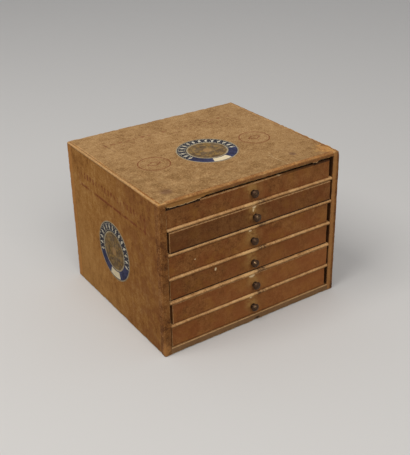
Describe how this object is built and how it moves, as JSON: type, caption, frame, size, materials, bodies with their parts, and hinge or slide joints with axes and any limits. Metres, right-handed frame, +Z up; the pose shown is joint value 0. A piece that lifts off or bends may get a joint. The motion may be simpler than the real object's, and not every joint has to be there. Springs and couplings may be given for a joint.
{
  "type": "thread drawer cabinet",
  "caption": "Tabletop pasteboard chest of shallow full-width thread drawers with small metal knobs and round paper labels.",
  "frame": {"origin": "on the surface that the chest stands on, in the middle of its whole outline with the knobs included", "axes": "+Z up; +X to the right of someone facing the drawers; the drawers pull out along -Y"},
  "size_m": [0.2624, 0.2396, 0.2002],
  "materials": {
    "case_board": "pasteboard covered in mottled tan kraft paper, matt, worn pale along the edges",
    "shelf_board": "pasteboard with rounded paper-covered nose, worn pale by fingers",
    "drawer_front": "pasteboard covered in darker red-brown paper, matt",
    "drawer_tray": "bare grey-tan pasteboard lined with pale paper",
    "label_paper": "printed label paper, navy, cream and gold-brown, faded",
    "knob_metal": "turned brass darkened with age, small bright worn spots",
    "pin_metal": "plain brass split pin"
  },
  "bodies": {
    "case": {"left_board": "case_board", "right_board": "case_board", "top_board": "case_board", "bottom_board": "case_board", "back_board": "case_board", "left_spacers": "shelf_board", "right_spacers": "shelf_board", "shelf_1": "shelf_board", "shelf_2": "shelf_board", "shelf_3": "shelf_board", "shelf_4": "shelf_board", "shelf_5": "shelf_board", "top_label": "label_paper", "left_label": "label_paper", "right_label": "label_paper"},
    "drawer_1": {"drawer_1_front": "drawer_front", "drawer_1_bottom": "drawer_tray", "drawer_1_left_side": "drawer_tray", "drawer_1_right_side": "drawer_tray", "drawer_1_back": "drawer_tray", "drawer_1_knob": "knob_metal", "drawer_1_knob_pin": "pin_metal"},
    "drawer_2": {"drawer_2_front": "drawer_front", "drawer_2_bottom": "drawer_tray", "drawer_2_left_side": "drawer_tray", "drawer_2_right_side": "drawer_tray", "drawer_2_back": "drawer_tray", "drawer_2_knob": "knob_metal", "drawer_2_knob_pin": "pin_metal"},
    "drawer_3": {"drawer_3_front": "drawer_front", "drawer_3_bottom": "drawer_tray", "drawer_3_left_side": "drawer_tray", "drawer_3_right_side": "drawer_tray", "drawer_3_back": "drawer_tray", "drawer_3_knob": "knob_metal", "drawer_3_knob_pin": "pin_metal"},
    "drawer_4": {"drawer_4_front": "drawer_front", "drawer_4_bottom": "drawer_tray", "drawer_4_left_side": "drawer_tray", "drawer_4_right_side": "drawer_tray", "drawer_4_back": "drawer_tray", "drawer_4_knob": "knob_metal", "drawer_4_knob_pin": "pin_metal"},
    "drawer_5": {"drawer_5_front": "drawer_front", "drawer_5_bottom": "drawer_tray", "drawer_5_left_side": "drawer_tray", "drawer_5_right_side": "drawer_tray", "drawer_5_back": "drawer_tray", "drawer_5_knob": "knob_metal", "drawer_5_knob_pin": "pin_metal"},
    "drawer_6": {"drawer_6_front": "drawer_front", "drawer_6_bottom": "drawer_tray", "drawer_6_left_side": "drawer_tray", "drawer_6_right_side": "drawer_tray", "drawer_6_back": "drawer_tray", "drawer_6_knob": "knob_metal", "drawer_6_knob_pin": "pin_metal"}
  },
  "joints": [
    {"name": "drawer_1_slide", "type": "slide", "parent": "case", "child": "drawer_1", "axis": [0, -1, 0], "range_m": [-0.0013, 0.1837]},
    {"name": "drawer_2_slide", "type": "slide", "parent": "case", "child": "drawer_2", "axis": [0, -1, 0], "range_m": [-0.0026, 0.1824]},
    {"name": "drawer_3_slide", "type": "slide", "parent": "case", "child": "drawer_3", "axis": [0, -1, 0], "range_m": [-0.00143, 0.18357]},
    {"name": "drawer_4_slide", "type": "slide", "parent": "case", "child": "drawer_4", "axis": [0, -1, 0], "range_m": [-0.00065, 0.18435]},
    {"name": "drawer_5_slide", "type": "slide", "parent": "case", "child": "drawer_5", "axis": [0, -1, 0], "range_m": [-0.00182, 0.18318]},
    {"name": "drawer_6_slide", "type": "slide", "parent": "case", "child": "drawer_6", "axis": [0, -1, 0], "range_m": [-0.0013, 0.1837]}
  ]
}
